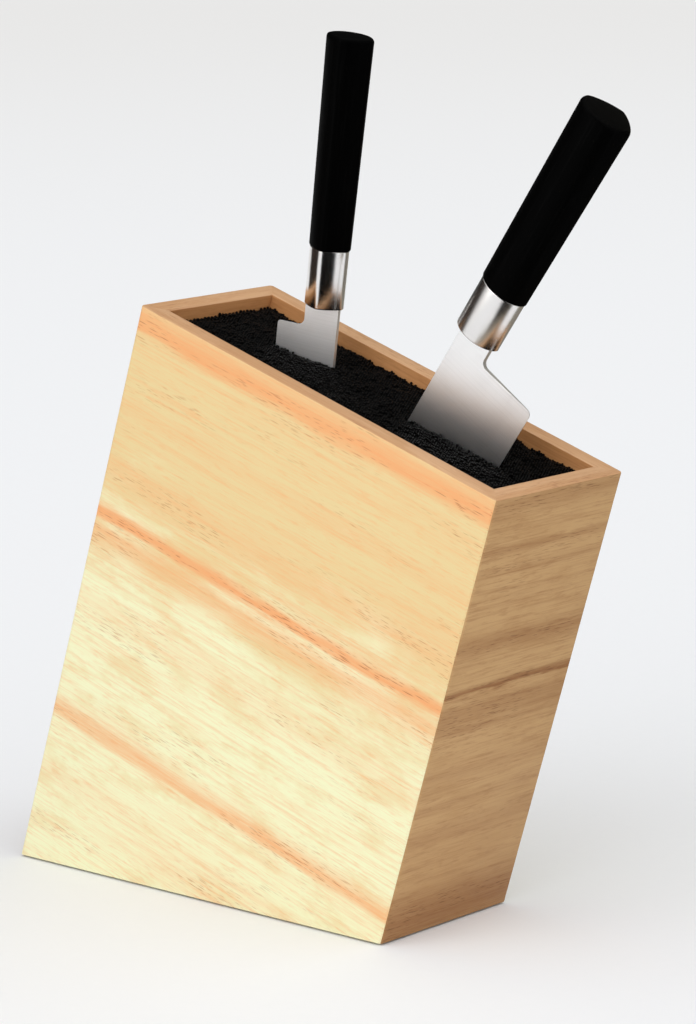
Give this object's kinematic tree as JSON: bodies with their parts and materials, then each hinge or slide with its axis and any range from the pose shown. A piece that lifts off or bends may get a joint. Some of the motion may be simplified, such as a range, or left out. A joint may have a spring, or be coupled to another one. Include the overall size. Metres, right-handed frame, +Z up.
{
  "type": "knife block",
  "caption": "Leaning wooden knife block with a lift-out bristle insert that holds kitchen knives of any shape upright.",
  "frame": {"origin": "centre of the foot's outline at worktop height, on the underside of the pad", "axes": "+X along the foot towards the low end, where the block leans over; +Y across it to the back; +Z up from the worktop"},
  "size_m": [0.3097, 0.0836, 0.3773],
  "materials": {
    "panel_wood": "satin",
    "spline_wood": "satin",
    "inner_wood": "matte",
    "pad_rubber": "matte",
    "tray_plastic": "matte",
    "bristle_plastic": "satin",
    "blade_steel": "satin",
    "collar_steel": "satin",
    "handle_plastic": "matte"
  },
  "bodies": {
    "block": {"front_panel": "panel_wood", "back_panel": "panel_wood", "high_end_panel": "panel_wood", "low_end_panel": "panel_wood", "front_high_spline": "spline_wood", "front_low_spline": "spline_wood", "back_high_spline": "spline_wood", "back_low_spline": "spline_wood", "base_board": "inner_wood", "base_pad": "pad_rubber", "inner_floor": "inner_wood", "front_cleat": "inner_wood", "back_cleat": "inner_wood"},
    "insert": {"insert_tray": "tray_plastic", "front_row_bristles": "bristle_plastic", "back_row_bristles": "bristle_plastic", "high_end_bristles": "bristle_plastic", "low_end_bristles": "bristle_plastic", "small_slot_front_bristles": "bristle_plastic", "small_slot_back_bristles": "bristle_plastic", "between_slots_bristles": "bristle_plastic", "large_slot_front_bristles": "bristle_plastic", "large_slot_back_bristles": "bristle_plastic"},
    "small_knife": {"small_blade": "blade_steel", "small_collar": "collar_steel", "small_handle": "handle_plastic"},
    "large_knife": {"large_blade": "blade_steel", "large_collar": "collar_steel", "large_handle": "handle_plastic"}
  },
  "joints": [
    {"name": "insert_slide", "type": "slide", "parent": "block", "child": "insert", "axis": [0.3007, 0, 0.9537], "range_m": [0, 0.185]},
    {"name": "small_knife_slide", "type": "slide", "parent": "insert", "child": "small_knife", "axis": [0.1662, -0.0367, 0.9854], "range_m": [-0.018, 0.145]},
    {"name": "large_knife_slide", "type": "slide", "parent": "insert", "child": "large_knife", "axis": [0.5706, 0.0067, 0.8212], "range_m": [-0.028, 0.155]}
  ]
}
